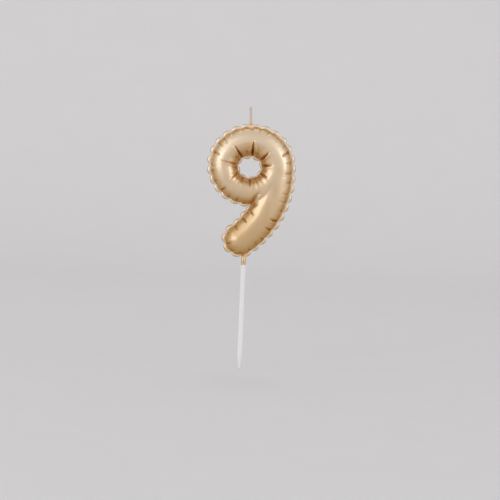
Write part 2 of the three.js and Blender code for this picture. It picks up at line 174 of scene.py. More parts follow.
# Wick: two twisted yarns side by side, and a low mound of wax round its foot, given as its
# radii and heights
WICK_OFFSET = -1.0
WICK_LEAN = math.radians(-2.9)
WICK_SHOWN = 11.15
WICK_IN_WAX = 10.0
YARN_RADIUS = 0.43
YARN_FLUTES = 5
YARN_FLUTE_DEPTH = 0.16
YARN_TWIST_LENGTH = 7.0
YARN_SIDES = 30
YARN_STEP = 0.09
YARN_ENDS = (0.55, 0.0)
YARN_START_TURN = math.radians(12)
YARN_TURN = math.radians(50)
YARN_OFFSET = 0.96
YARN_SPREAD = 0.22
YARN_SPREAD_FROM = 8.5
YARN_SPREAD_LENGTH = 3.0
YARN_WOBBLE = 0.04
YARN_WOBBLE_SIZE = 3
YARN_WOBBLE_SHIFT = 3.0
YARN_TIP_LENGTH = 0.35
YARN_TIP_THINNING = 0.35
FIBRE_COUNT = 7
FIBRE_RADIUS = 0.045
FIBRE_TIP_SHARE = 0.4
FIBRE_SIDES = 6
FIBRE_ROOT = 0.4
FIBRE_RISE = 0.5
FIBRE_LEANS = (0.1, 0.7)
FIBRE_LENGTHS = (0.3, 0.55)
FIBRE_STARTS = (0, 0.25)
MOUND = [(1.7, -1.6), (1.45, -0.4), (1.2, 0.4), (1.08, 1.2), (0.98, 1.7), (0.8, 1.85)]
MOUND_EDGE = 0.3
MOUND_CAP_RADIUS = 0.05
# Share of the darkening given to the mound's points, which makes it a deeper gold
MOUND_DARKENING = 0.4
MOUND_REACH = 0.05

# Slivers shorter than this are cleared where the mound joins the figure, in metres
JOIN_CLEARED = 0.000004

# Fineness of the surface: steps, spacings and the least distance between points of each kind
TRACE_STEP = 0.1
TRACE_START_ROUNDS = 6
REACH_STEPS = 60
LOBE_EDGE_STEPS = 30
FLANGE_ROWS = (0, 0.14, 0.28, 0.42, 0.56, 0.7, 0.8, 0.88, 0.94, 0.98)
ROW_SPACING = 0.25
ROW_ANGLES = np.radians(np.arange(4, 57, 3.6))
ROW_TUBE_RADIUS = 7.0
ROW_CLEARANCE = 0.9
GRID_SPACING = 0.32
CREASE_STEP = 0.22
CREASE_SIDES = (0, 0.1, 0.28, 0.55)
CREASE_FIRST_SHARE = 0.02
CREASE_APART = 0.09
ROW_APART = 0.13
GRID_APART = GRID_SPACING * 0.7
MERGED_WITHIN = 1e-6
ROUNDING_STEPS = 4
LEAST_SIDE_PER_ROUNDING = 2.1

# Small numbers that keep a division from failing
TINY = 1e-9
LEAST_ODDS = 1e-30

# Creases that start at the outer seam: lobes clockwise from the wick, slant in degrees,
# length, depth and half width
OUTER_CREASES = [
    (1.0, 0, 3.0, 1.4, 0.8),
    (4.77, 10, 3.9, 3.0, 1.2),
    (5.85, 4, 2.4, 2.0, 1.0),
    (6.9, 6, 3.2, 2.6, 1.0),
    (7.9, 0, 2.6, 2.0, 1.0),
    (9.9, 14, 3.6, 1.6, 0.9),
    (10.9, 6, 2.2, 1.6, 1.0),
    (12.04, 10, 4.4, 3.2, 1.2),
    (13.14, 4, 3.8, 3.0, 1.2),
    (14.39, 0, 2.2, 1.8, 1.0),
    (15.2, -6, 3.4, 1.4, 0.8),
    (17.1, 0, 2.2, 1.6, 1.0),
    (18.9, 6, 3.2, 2.2, 1.0),
    (19.96, 0, 1.8, 1.4, 0.9),
    (21.1, -8, 2.6, 2.2, 1.0),
    (22.2, -6, 3.0, 2.4, 1.0),
    (23.3, -20, 4.2, 1.6, 0.9),
    (25.28, 0, 2.6, 2.2, 1.0),
    (26.2, 4, 2.4, 2.0, 1.0),
    (27.2, -6, 3.6, 3.0, 1.2),
    (28.3, 0, 2.2, 1.6, 1.0),
    (29.4, 0, 2.6, 1.8, 1.0),
    (31.34, -4, 3.2, 2.4, 1.1),
    (32.34, 0, 2.4, 1.8, 1.0),
]

# Creases that fan out of the hole: angle from +X, slant, length, depth and half width
HOLE_CREASES = [
    (126, 1, 8.2, 3.2, 1.0),
    (104, -10, 3.6, 1.4, 0.9),
    (81, 4, 8.7, 3.2, 1.05),
    (61, 11, 6.4, 1.3, 0.8),
    (36, 10, 6.7, 3.0, 1.0),
    (9, -2, 5.0, 2.6, 1.0),
    (-10, 0, 2.4, 1.4, 0.8),
    (-29, 0, 4.0, 2.8, 1.0),
    (-46, 0, 2.2, 1.2, 0.8),
    (-63, 2, 2.6, 1.8, 0.8),
    (-87, 1, 4.2, 2.6, 0.9),
    (-119, 11, 2.8, 2.0, 0.8),
    (-136, 0, 2.2, 1.2, 0.8),
    (-152, 12, 5.6, 1.8, 0.8),
    (-176, -14, 2.6, 1.6, 0.8),
    (168, -1, 9.0, 1.8, 0.8),
    (147, -20, 3.4, 1.6, 0.8),
]

# Raised folds beside the long creases of the hole: crease, side, offset and height
HOLE_FOLDS = [
    (0, 1, 1.05, 0.7),
    (0, -1, 1.2, 0.15),
    (2, -1, 1.05, 0.7),
    (2, 1, 1.2, 0.25),
    (4, -1, 1.05, 0.6),
    (4, 1, 1.1, 0.25),
    (5, 1, 1.0, 0.3),
    (5, -1, 1.0, 0.3),
    (7, -1, 1.0, 0.25),
    (13, 1, 1.0, 0.25),
    (15, 1, 0.9, 0.3),
    (15, -1, 0.9, 0.25),
]

# The crease that runs up from the notch between tail and ring, as steps of angle and length
NOTCH_CREASE_STEPS = [(62, 3.6), (60, 2.2), (42, 1.6), (12, 1.8)]
NOTCH_CREASE_DEPTH = 3.7
NOTCH_CREASE_HALF_WIDTH = 2.3

# Colours of the looks, as shares of the light that come back. The gold carries painted shade that
# makes it deeper and darker towards the lower of the two heights. It is palest under the painted
# highlight on the lobes, and darkest under the painted shade of seams and creases. Heights are in
# metres, and the wick's are from its foot.
GOLD_HIGH = (0.895, 0.70, 0.48)
GOLD_LOW = (0.735, 0.48, 0.21)
GOLD_HEIGHTS = (0.040, 0.084)
GOLD_HEIGHT_VARIATION = 0.006
GOLD_PAINTED_HIGHLIGHT = (0.96, 0.85, 0.70)
GOLD_SHADE = (0.56, 0.29, 0.04)
GOLD_DARKEST_SHADE = (0.20, 0.09, 0.015)
GOLD_DARKEST_SHADE_RANGE = (0.7, 1.05)
GOLD_PATCHINESS = (0.75, 1.1)
GOLD_ROUGHNESS = (0.44, 0.52)
# Share of the painted shade at which the coat is gone
GOLD_COAT_LOST_AT = 0.6
PLASTIC_LIGHT = (0.94, 0.935, 0.94)
PLASTIC_DARK = (0.89, 0.885, 0.885)
PLASTIC_ROUGHNESS = (0.34, 0.44)
COTTON_LIGHT = (0.84, 0.74, 0.64)
COTTON_DARK = (0.66, 0.53, 0.42)
COTTON_GILDED = (0.66, 0.42, 0.20)
COTTON_GILDED_HEIGHTS = (0.0016, 0.0034)
COTTON_TIP = (0.42, 0.38, 0.33)
COTTON_TIP_HEIGHTS = (0.0092, 0.0112)
COTTON_TIP_SHARE = 0.5
PAPER_LIGHT = (0.785, 0.775, 0.78)
PAPER_DARK = (0.765, 0.755, 0.76)
WORLD_COLOUR = (0.62, 0.615, 0.62)

# The range that most of a noise's values lie in
NOISE_RANGE = (0.3, 0.7)

# Camera at the photograph's viewing angle and slight lean, in metres, with its sensor in mm
PHOTO_WIDTH = 0.265
PHOTO_CENTRE = Vector((0.0032, 0, 0.0298))
PHOTO_LEAN = math.radians(2.35)
CAMERA_DISTANCE = 1.2
CAMERA_ELEVATION = math.radians(5)
SENSOR_WIDTH = 36

# Area lamps: azimuth and elevation in degrees, distance, width and height in metres, watts
LAMP_TARGET = Vector((0, 0, 0.06))
LAMPS = {
    "strip_left": (-52, 2, 1.5, 1.2, 1.0, 4.9),
    "strip_right": (58, 4, 1.5, 0.75, 1.3, 4.7),
    "panel_left": (-55, 30, 1.5, 1.7, 1.1, 2.6),
    "panel_right": (60, 30, 1.5, 1.5, 1.1, 1.2),
    "panel_back": (180, 60, 1.5, 0.8, 0.5, 1.5),
}

# Floor and backdrop, in metres
SWEEP_RADIUS = 0.4
SWEEP_STEPS = 24
SWEEP_TOP = 1.8
SWEEP_HALF_WIDTH = 2.5
FLOOR_BACK = 0.5
FLOOR_FRONT = -2.2
FLOOR_GAP = 0.0002

ring_half = np.array([RING_WIDTH, RING_HEIGHT]) / 2
hole_half = np.array([HOLE_WIDTH, HOLE_HEIGHT]) / 2
touch = np.array([math.cos(TAIL_TOUCH_ANGLE), math.sin(TAIL_TOUCH_ANGLE)])
arc_centre = touch * (1 / np.hypot(*(touch / ring_half)) - TAIL_OUTER_RADIUS)


def dot(a, b):
    return np.sum(a * b, axis=-1)


def unit(v):
    return v / np.linalg.norm(v, axis=-1, keepdims=True)


def turn(v, angle):
    """v turned anticlockwise in the figure's plane."""
    c, s = math.cos(angle), math.sin(angle)
    return np.stack([c * v[..., 0] - s * v[..., 1], s * v[..., 0] + c * v[..., 1]], axis=-1)


def tail_section(t):
    """Half width and middle radius of the tail, a share t of the way from touch to end."""
    half_width = (TAIL_WIDTH + (TAIL_END_WIDTH - TAIL_WIDTH) * t * t) / 2
    return half_width, TAIL_OUTER_RADIUS - TAIL_WIDTH / 2 + TAIL_END_DRIFT * t * t


def tail_distance(p):
    """Distance from the tail's middle line, the half width there, and whether it is inside."""
    offset = p - arc_centre
    radius = np.hypot(offset[..., 0], offset[..., 1])
    angle = np.arctan2(offset[..., 1], offset[..., 0])
    t = np.clip((TAIL_TOUCH_ANGLE - angle) / (TAIL_TOUCH_ANGLE - TAIL_END_ANGLE), 0, 1)
    half_width, middle = tail_section(t)
    nearest = np.clip(angle, TAIL_END_ANGLE, TAIL_TOUCH_ANGLE)
    end = middle[..., None] * np.stack([np.cos(nearest), np.sin(nearest)], axis=-1)
    past_end = np.linalg.norm(offset - end, axis=-1)
    distance = np.where(nearest == angle, np.abs(radius - middle), past_end)
    return distance, half_width, radius < middle


def ellipse_inset(p, half):
    """Distance inside an ellipse, true to first order near its edge."""
    reach = np.linalg.norm(p / half, axis=-1)
    slope = np.linalg.norm(p / half**2, axis=-1) / reach
    return (1 - reach) / slope


def ring_inset(p):
    return ellipse_inset(p, ring_half)


def hole_inset(p):
    return -ellipse_inset(p - HOLE_SHIFT, hole_half)


def outline_inset(p):
    """Distance inside ring and tail together, rounded in the notch between them."""
    distance, half_width, is_inner = tail_distance(p)
    in_tail = half_width - distance
    in_ring = ring_inset(p)
    fillet = np.where(is_inner, np.clip(1 - np.abs(in_tail - in_ring) / NOTCH_FILLET, 0, 1), 0)
    return np.maximum(in_tail, in_ring) + NOTCH_FILLET / 4 * fillet**2


class Seam:
    """A closed line round the wax, kept as close points with their distance along it."""

    def __init__(self, inset, start, lobe_pitch, lobe_reaches):
        self.inset = inset
        self.lobe_reaches = lobe_reaches
        self.points = self.trace(np.array(start, float))
        steps = np.linalg.norm(np.roll(self.points, -1, axis=0) - self.points, axis=1)
        self.lengths = np.concatenate([[0], np.cumsum(steps)])
        self.lobe_count = round(self.lengths[-1] / lobe_pitch)
        self.lobe_pitch = self.lengths[-1] / self.lobe_count
        self.closed = np.vstack([self.points, self.points[:1]])
        self.sizes = 1 - LOBE_VARIATION * rng.random(self.lobe_count)
        self.reach_places = np.linspace(0, self.lobe_count, self.lobe_count * REACH_STEPS + 1)
        self.reaches = self.clear_reach(self.reach_places)

    def inward(self, p):
        """Slope of the inset, which points into the wax."""
        step = TRACE_STEP / 10
        across, up = np.array([step, 0]), np.array([0, step])
        return np.stack([
            self.inset(p + across) - self.inset(p - across),
            self.inset(p + up) - self.inset(p - up),
        ], axis=-1) / (2 * step)

    def settle(self, p, rounds=2):
        """The points of the line nearest to p."""
        for _ in range(rounds):
            slope = self.inward(p)
            p = p - slope * (self.inset(p) / dot(slope, slope))[..., None]
        return p

    def trace(self, start):
        """Close points once round the line, anticlockwise round the wax."""
        points = [self.settle(start, TRACE_START_ROUNDS)]
        while len(points) < 3 or np.hypot(*(points[-1] - points[0])) > TRACE_STEP:
            x, z = unit(self.inward(points[-1]))
            points.append(self.settle(points[-1] + TRACE_STEP * np.array([-z, x])))
        return np.array(points)

    def at(self, lobes):
        """Points and inward directions at places counted in lobes from the start."""
        along = np.mod(lobes, self.lobe_count) * self.lobe_pitch
        p = np.stack([np.interp(along, self.lengths, self.closed[:, i]) for i in (0, 1)], axis=-1)
        return p, unit(self.inward(p))

    def nearest(self, p, chunk=4000):
        """Place in lobes of the nearest point of the line, and the distance to it."""
        lobes, distance = np.empty(len(p)), np.empty(len(p))
        for i in range(0, len(p), chunk):
            part = p[i:i + chunk]
            gap = part[:, None, :] - self.points[None, :, :]
            best = np.argmin(gap[..., 0]**2 + gap[..., 1]**2, axis=1)
            low, away = self.on_segments(part, best)
            lobes[i:i + chunk], distance[i:i + chunk] = low, away
        return lobes, distance

    def on_segments(self, p, best):
        """The nearer foot on the two segments that meet at point best."""
        results = []
        for start in (best - 1, best):
            a, b = self.points[start], self.points[(start + 1) % len(self.points)]
            share = np.clip(dot(p - a, b - a) / dot(b - a, b - a), 0, 1)
            away = np.linalg.norm(p - a - share[:, None] * (b - a), axis=1)
            begin = np.mod(start, len(self.points))
            along = self.lengths[begin] + share * (self.lengths[begin + 1] - self.lengths[begin])
            results.append((along / self.lobe_pitch, away))
        first = results[0][1] <= results[1][1]
        return tuple(np.where(first, x, y) for x, y in zip(*results))

    def clear_reach(self, lobes):
        """Reach of the flange: an arch over each lobe, cut short where two flanges meet."""
        p, inward = self.at(lobes)
        up, aside, down = self.lobe_reaches
        upright = np.where(inward[:, 1] < 0, up, down)
        middle = upright + (aside - upright) * np.abs(inward[:, 0])
        middle = middle * self.sizes[np.floor(lobes).astype(int) % self.lobe_count]
        arch = 1 - (2 * np.mod(lobes, 1) - 1)**2
        arch = LOBE_ROOT + (middle - LOBE_ROOT) * np.maximum(arch, 0)**LOBE_FULLNESS
        reach = np.full(len(lobes), LOBE_ROOT)
        growing = reach < arch
        while growing.any():
            ahead = reach[growing] + TRACE_STEP + FLANGE_CLEARANCE
            tips = p[growing] - ahead[:, None] * inward[growing]
            is_clear = self.nearest(tips)[1] > ahead - TRACE_STEP
            reach[growing] += np.where(is_clear, TRACE_STEP, 0)
            growing[growing] = is_clear
            growing &= reach < arch
        return np.minimum(reach, arch)

    def reach(self, lobes):
        """Reach of the flange at places in lobes, from what was worked out before."""
        return np.interp(np.mod(lobes, self.lobe_count), self.reach_places, self.reaches)

    def pleats(self, lobes):
        """Uneven waves along the line, from -1 to 1, each a part of a lobe long."""
        local = np.random.default_rng(self.lobe_count)
        total = np.zeros(len(lobes))
        for waves in PLEATS_PER_LOBE:
            count, phase = round(waves * self.lobe_count), local.uniform(0, 2 * math.pi)
            total += np.sin(2 * math.pi * count * lobes / self.lobe_count + phase)
        return total / len(PLEATS_PER_LOBE)

    def place(self, lobes, inset):
        """Points at places along the line and distances inside it."""
        p, inward = self.at(lobes)
        return p + np.asarray(inset)[..., None] * inward


def on_hole(angle):
    """Point of the hole's edge at an angle from +X."""
    return HOLE_SHIFT + hole_half * [math.cos(angle), math.sin(angle)]


outer = Seam(outline_inset, [WICK_OFFSET, ring_half[1]], LOBE_PITCH, LOBE_REACHES)
hole = Seam(hole_inset, on_hole(HOLE_LOBE_START), HOLE_LOBE_PITCH, HOLE_LOBE_REACHES)

# The row's origin in the figure's frame
end_angle = np.array([math.cos(TAIL_END_ANGLE), math.sin(TAIL_END_ANGLE)])
tail_end = arc_centre + tail_section(1)[1] * end_angle
stick_x = tail_end[0] + STICK_OFFSET
below_end = np.array([stick_x, tail_end[1] - TAIL_END_WIDTH / 2])
stick_entry = outer.settle(below_end, TRACE_START_ROUNDS)
figure_shift = np.array([-stick_x, STICK_SHOWN - stick_entry[1]])
wick_foot = outer.at(np.array([0.0]))[0][0] + figure_shift


class Crease:
    """A valley along a line that starts at a seam and dies out at its far end."""

    def __init__(self, line, depth, half_width, folds=()):
        self.line = np.array(line)
        steps = np.linalg.norm(np.diff(self.line, axis=0), axis=1)
        self.lengths = np.concatenate([[0], np.cumsum(steps)])
        self.depth = depth
        self.half_width = half_width
        self.folds = folds

    def coordinates(self, p):
        """Share of the way along the line and distance to its left, at points p."""
        best_away = np.full(len(p), np.inf)
        share_along, side = np.zeros(len(p)), np.zeros(len(p))
        for i in range(len(self.line) - 1):
            a, b = self.line[i], self.line[i + 1]
            length = self.lengths[i + 1] - self.lengths[i]
            ahead = (b - a) / length
            along = dot(p - a, ahead)
            low = -length if i == 0 else 0
            foot = np.clip(along, low, length)
            offset = p - a - foot[:, None] * ahead
            away = np.linalg.norm(offset, axis=1)
            left = ahead[0] * offset[:, 1] - ahead[1] * offset[:, 0]
            nearer = away < best_away
            best_away = np.where(nearer, away, best_away)
            share_along = np.where(nearer, (self.lengths[i] + foot) / self.lengths[-1], share_along)
            side = np.where(nearer, np.where(left < 0, -away, away), side)
        return share_along, side

    def valley(self, p):
        """Depth of the valley at points p."""
        share, side = self.coordinates(p)
        fade = np.clip(1 - share, 0, 1)**CREASE_FADE
        half_width = self.half_width * (1 - CREASE_TAPER + CREASE_TAPER * fade)
        u = np.clip(1 - np.abs(side) / half_width, 0, 1)
        soft, slit = u**2 * (3 - 2 * u), 1 - np.sqrt(1 - u**2)
        return self.depth * fade * (soft + CREASE_SLIT_SHARE * (slit - soft))

    def pool(self, p):
        """Painted shade along the valley's bottom, and a fainter band of it on the walls."""
        share, side = self.coordinates(p)
        fade = np.clip(1 - share, 0, 1)**CREASE_SHADE_FADE * min(self.depth / CREASE_SHADE_FULL_DEPTH, 1)
        line = np.exp(-(side / CREASE_LINE_WIDTH)**2)
        band = CREASE_BAND_SHARE * np.exp(-(side / CREASE_BAND_WIDTH)**2)
        return fade * np.maximum(line, band)

    def fold(self, p):
        """Height of the raised folds beside the valley."""
        share, side = self.coordinates(p)
        height = np.zeros(len(p))
        along = np.clip(1 - share, 0, 1)**FOLD_FADE * np.clip(share / FOLD_START, 0, 1)
        for sign, offset, rise in self.folds:
            across = side - sign * offset * (1 - FOLD_CLOSING * np.clip(share, 0, 1))
            height += rise * np.exp(-(across / FOLD_WIDTH)**2) * along
        return height

    def sample_points(self):
        """Points along the valley's bottom and walls."""
        count = max(2, int(self.lengths[-1] / CREASE_STEP))
        along = np.linspace(CREASE_FIRST_SHARE, 1, count) * self.lengths[-1]
        points = []
        for i in range(len(self.line) - 1):
            ahead = unit(self.line[i + 1] - self.line[i])
            left = np.array([-ahead[1], ahead[0]])
            inside = along[(along >= self.lengths[i]) & (along < self.lengths[i + 1])]
            for side in CREASE_SIDES:
                for sign in ((1,) if side == 0 else (1, -1)):
                    offset = sign * side * self.half_width * left
                    points.append(self.line[i] + (inside - self.lengths[i])[:, None] * ahead + offset)
        return np.vstack(points)


def seam_crease(seam, lobes, slant, length, depth, half_width, folds=()):
    """A straight crease into the wax from a place on a seam, slanted by degrees."""
    p, inward = seam.at(np.array([lobes]))
    ahead = turn(inward[0], math.radians(slant))
    return Crease([p[0], p[0] + length * ahead], depth, half_width, folds)


def hole_place(angle):
    """Place along the hole's seam, in lobes, at an angle from +X."""
    return hole.nearest(on_hole(math.radians(angle))[None])[0][0]


def make_creases():
    creases = [seam_crease(outer, *numbers) for numbers in OUTER_CREASES]
    for i, (angle, *numbers) in enumerate(HOLE_CREASES):
        folds = [fold[1:] for fold in HOLE_FOLDS if fold[0] == i]
        creases.append(seam_crease(hole, hole_place(angle), *numbers, folds))
    taken = {outer: [c[0] for c in OUTER_CREASES], hole: [hole_place(c[0]) for c in HOLE_CREASES]}
    for seam in (outer, hole):
        for lobe in range(seam.lobe_count):
            shift, slant, size = rng.uniform(-1, 1, 3)
            if min(abs(lobe - place) for place in taken[seam]) < PUCKER_CLEARANCE:
                continue
            creases.append(seam_crease(
                seam, lobe + PUCKER_SHIFT * shift, PUCKER_SLANT * slant,
                PUCKER_LENGTH * (1 + PUCKER_LENGTH_VARIATION * size),
                PUCKER_DEPTH * (1 + PUCKER_DEPTH_VARIATION * size), PUCKER_HALF_WIDTH,
            ))
    return creases


def notch_crease():
    """The crease that starts where the seam passes from the tail to the ring."""
    on_tail = np.subtract(*tail_distance(outer.points)[1::-1]) > ring_inset(outer.points)
    start = outer.points[np.flatnonzero(on_tail[:-1] & ~on_tail[1:])[-1] + 1]
    line = [start]
    for angle, length in NOTCH_CREASE_STEPS:
        angle = math.radians(angle)
        line.append(line[-1] + length * np.array([math.cos(angle), math.sin(angle)]))
    return Crease(line, NOTCH_CREASE_DEPTH, NOTCH_CREASE_HALF_WIDTH)


creases = [*make_creases(), notch_crease()]


def undulation(p, size):
    """A smooth uneven field between -1 and 1, with waves about size long."""
    local = np.random.default_rng(round(size * 10))
    total = np.zeros(len(p))
    for _ in range(UNDULATION_COUNT):
        angle, phase = local.uniform(0, 2 * math.pi), local.uniform(0, 2 * math.pi)
        wave = 2 * math.pi / (size * local.uniform(*UNDULATION_RANGE))
        total += np.sin(wave * (p[:, 0] * math.cos(angle) + p[:, 1] * math.sin(angle)) + phase)
    return total / UNDULATION_COUNT


def odds(share):
    return (share / np.maximum(1 - share, TINY))**JOIN_SHARPNESS


def roundness(p):
    """Share of the full thickness, squared: an ellipse across the ring and one across the tail."""
    out, inn = ring_inset(p), hole_inset(p)
    ring = np.where((out > 0) & (inn > 0), 4 * out * inn / np.maximum(out + inn, TINY)**2, 0)
    distance, half_width, _ = tail_distance(p)
    tail = np.clip(1 - (distance / half_width)**2, 0, 1)
    together = np.maximum(odds(ring) + odds(tail), LEAST_ODDS)**(1 / JOIN_SHARPNESS)
    return np.where(inn < out, ring, 1 / (1 + 1 / together))


def flange_depth(share, across):
    """Half the flange's thickness, from the seam at share 0 to the edge at share 1."""
    swell = LOBE_SWELL * np.sin(math.pi * share)**LOBE_SWELL_POWER * (1 - across**2)
    plate = (SEAM_THICKNESS + (RIM_THICKNESS - SEAM_THICKNESS) * share) / 2
    rim = np.sqrt(np.clip(1 - np.clip((share - 1 + RIM_SHARE) / RIM_SHARE, 0, 1)**2, 0, 1))
    return (plate + swell) * rim


def half_depth(p):
    """Half the thickness of the wax at points p, and the painted shade there, which is below 0 under
    the painted highlight of the lobes.
    """
    to_outer, to_hole = outer.nearest(p), hole.nearest(p)
    in_hole_half = to_hole[1] < to_outer[1]
    depth, painted_shade_and_highlight = np.zeros(len(p)), np.zeros(len(p))
    valley, fold, crease_shade = np.zeros(len(p)), np.zeros(len(p)), np.zeros(len(p))
    for crease in creases:
        valley = np.maximum(valley, crease.valley(p))
        fold = np.maximum(fold, crease.fold(p))
        # Painted shade at the creases' bottoms
        crease_shade = np.maximum(crease_shade, crease.pool(p))
    tube_depth = BODY_DEPTH / 2 * CROWN_SHARE * np.sqrt(roundness(p)) + fold
    waves = UNDULATION_HEIGHT * undulation(p, UNDULATION_SIZE)
    for seam, (lobes, distance), mine, pleats, band_widths, highlight_share in (
        (outer, to_outer, ~in_hole_half, OUTER_PLEATS, OUTER_BAND, OUTER_HIGHLIGHT_SHARE),
        (hole, to_hole, in_hole_half, HOLE_PLEATS, HOLE_BAND, HOLE_HIGHLIGHT_SHARE),
    ):
        outside = mine & (seam.inset(p) < 0)
        inside = mine & ~outside
        share = np.clip(distance / seam.reach(lobes), 0, 1)
        across = 2 * np.mod(lobes, 1) - 1
        depth = np.where(outside, flange_depth(share, across), depth)
        height, fading = pleats
        pleat = height * seam.pleats(lobes) * np.exp(-(distance / fading)**2)
        pleat = pleat * np.clip(distance / PLEAT_START, 0, 1)
        body = tube_depth + waves * np.clip(distance / UNDULATION_START, 0, 1) + pleat
        depth = np.where(inside, np.hypot(np.maximum(body - valley, 0), SEAM_THICKNESS / 2), depth)
        # Painted shade: a line along the seam, a band beside it that widens where the wax above the
        # seam faces down, the crease bottoms, and the flange's dark outline
        narrow, extra = band_widths
        width = narrow + extra * np.clip(seam.at(lobes)[1][:, 1], 0, 1)
        band = BAND_SHARE * np.exp(-(distance / width)**2)
        line = SEAM_LINE_SHARE + (1 - SEAM_LINE_SHARE) * across**4
        line = line * np.exp(-(distance / SEAM_LINE_WIDTH)**2)
        edge = np.clip((share - OUTLINE_START) / (OUTLINE_END - OUTLINE_START), 0, 1)
        near = np.where(inside, 1 - (1 - crease_shade) * (1 - band), OUTLINE_SHARE * edge**2)
        # Painted highlight on the flange's lobes, taken off the painted shade
        painted_highlight = np.where(outside, highlight_share * np.sin(math.pi * share)**2, 0)
        painted_shade_and_highlight = np.where(mine, np.maximum(near, line) - painted_highlight, painted_shade_and_highlight)
    return np.minimum(depth, BODY_DEPTH / 2), painted_shade_and_highlight


def keep_apart(groups):
    """Joins groups of (points, spacing), leaving out a point closer to one already kept."""
    cell = min(spacing for _, spacing in groups if spacing > 0)
    cells, kept = {}, []
    for points, spacing in groups:
        for x, z in points.tolist():
            i, j = math.floor(x / cell), math.floor(z / cell)
            reach = math.ceil(spacing / cell)
            if spacing > 0 and any(
                (x - u)**2 + (z - v)**2 < spacing**2
                for di in range(-reach, reach + 1) for dj in range(-reach, reach + 1)
                for u, v in cells.get((i + di, j + dj), ())
            ):
                continue
            cells.setdefault((i, j), []).append((x, z))
            kept.append((x, z))
    return np.array(kept)


def figure_points():
    """Points all over the figure's plane, and the flange's two edges, which come first."""
    edges, flange, rows = [], [], []
    for seam in (outer, hole):
        steps = np.arange(seam.lobe_count * LOBE_EDGE_STEPS) / LOBE_EDGE_STEPS
        reach = seam.reach(steps)
        edges.append(seam.place(steps, -reach))
        for share in FLANGE_ROWS:
            flange.append(seam.place(steps, -reach * share))
        places = np.arange(0, seam.lobe_count, ROW_SPACING / seam.lobe_pitch)
        for angle in ROW_ANGLES:
            inset = ROW_TUBE_RADIUS * (1 - math.cos(angle))
            points = seam.place(places, np.full(len(places), inset))
            other = hole if seam is outer else outer
            is_own = (seam.inset(points) > inset * ROW_CLEARANCE) & (other.inset(points) > inset)
            rows.append(points[is_own])
    inside = np.vstack([crease.sample_points() for crease in creases])
    inside = inside[(outline_inset(inside) > TRACE_STEP) & (hole_inset(inside) > TRACE_STEP)]
    low = outer.points.min(axis=0)
    high = outer.points.max(axis=0)
    row_height = GRID_SPACING * math.sqrt(3) / 2
    grid = np.array([
        (x + (j % 2) * GRID_SPACING / 2, z)
        for j, z in enumerate(np.arange(low[1], high[1], row_height))
        for x in np.arange(low[0], high[0], GRID_SPACING)
    ])
    last = ROW_TUBE_RADIUS * (1 - math.cos(ROW_ANGLES[-1])) * ROW_CLEARANCE
    grid = grid[(outline_inset(grid) > last) & (hole_inset(grid) > last)]
    points = keep_apart([
        (np.vstack(edges), 0), (inside, CREASE_APART), (np.vstack(rows), ROW_APART),
        (np.vstack(flange), ROW_APART), (grid, GRID_APART),
    ])
    return points, edges


def is_inside(p, polygon):
    """Whether points p lie inside a polygon, by counting the edges to their right."""
    inside = np.zeros(len(p), bool)
    for a, b in zip(polygon, np.roll(polygon, -1, axis=0)):
        if a[1] == b[1]:
            continue
        crosses = (a[1] > p[:, 1]) != (b[1] > p[:, 1])
        at_x = a[0] + (b[0] - a[0]) * (p[:, 1] - a[1]) / (b[1] - a[1])
        inside ^= crosses & (p[:, 0] < at_x)
    return inside


def make_mesh(name, vertices, faces):
    """A smooth mesh object in metres from vertices in millimetres."""
    mesh = bpy.data.meshes.new(name)
    mesh.from_pydata((np.asarray(vertices) * MM).tolist(), [], [list(f) for f in faces])
    mesh.update()
    mesh.shade_smooth()
    piece = bpy.data.objects.new(name, mesh)
    bpy.context.scene.collection.objects.link(piece)
    return piece


def add_attribute(piece, name, values):
    attribute = piece.data.attributes.new(name, "FLOAT", "POINT")
    attribute.data.foreach_set("value", np.asarray(values, np.float32))


def pairs(count):
    """Numbers round a ring, each with the next."""
    return [(j, (j + 1) % count) for j in range(count)]


def tube(centres, radii, sides, axis=None):
    """Vertices and faces of a closed tube. radii holds a radius for each ring and side."""
    centres = np.asarray(centres, float)
    ahead = unit(np.gradient(centres, axis=0) if axis is None else np.tile(axis, (len(centres), 1)))
    across = unit(np.cross(ahead, [0, 1, 0]))
    other = np.cross(ahead, across)
    angles = np.arange(sides) * 2 * math.pi / sides
    radii = np.broadcast_to(np.asarray(radii, float), (len(centres), sides))
    rings = (
        centres[:, None, :]
        + (radii * np.cos(angles))[..., None] * across[:, None, :]
        + (radii * np.sin(angles))[..., None] * other[:, None, :]
    )
    last = len(centres) * sides
    top = last - sides
    faces = [
        (low + j, low + k, low + sides + k, low + sides + j)
        for low in range(0, top, sides) for j, k in pairs(sides)
    ]
    faces += [(last, k, j) for j, k in pairs(sides)]
    faces += [(last + 1, top + j, top + k) for j, k in pairs(sides)]
    return [*rings.reshape(-1, 3), centres[0], centres[-1]], faces


def joined(parts):
    """One list of vertices and one of faces from several (vertices, faces)."""
    vertices, faces = [], []
    for part_vertices, part_faces in parts:
        start = len(vertices)
        vertices += list(part_vertices)
        faces += [tuple(start + i for i in face) for face in part_faces]
    return vertices, faces


def rounded(profile, edge):
    """[radius, height] pairs with each corner replaced by a short curve."""
    profile = np.array(profile, float)
    result = [profile[0]]
    for before, corner, after in zip(profile, profile[1:], profile[2:]):
        back, ahead = before - corner, after - corner
        size = min(edge, min(np.hypot(*back), np.hypot(*ahead)) / LEAST_SIDE_PER_ROUNDING)
        a, b = corner + unit(back) * size, corner + unit(ahead) * size
        for t in np.linspace(0, 1, ROUNDING_STEPS):
            result.append((1 - t)**2 * a + 2 * t * (1 - t) * corner + t**2 * b)
    return np.array([*result, profile[-1]])


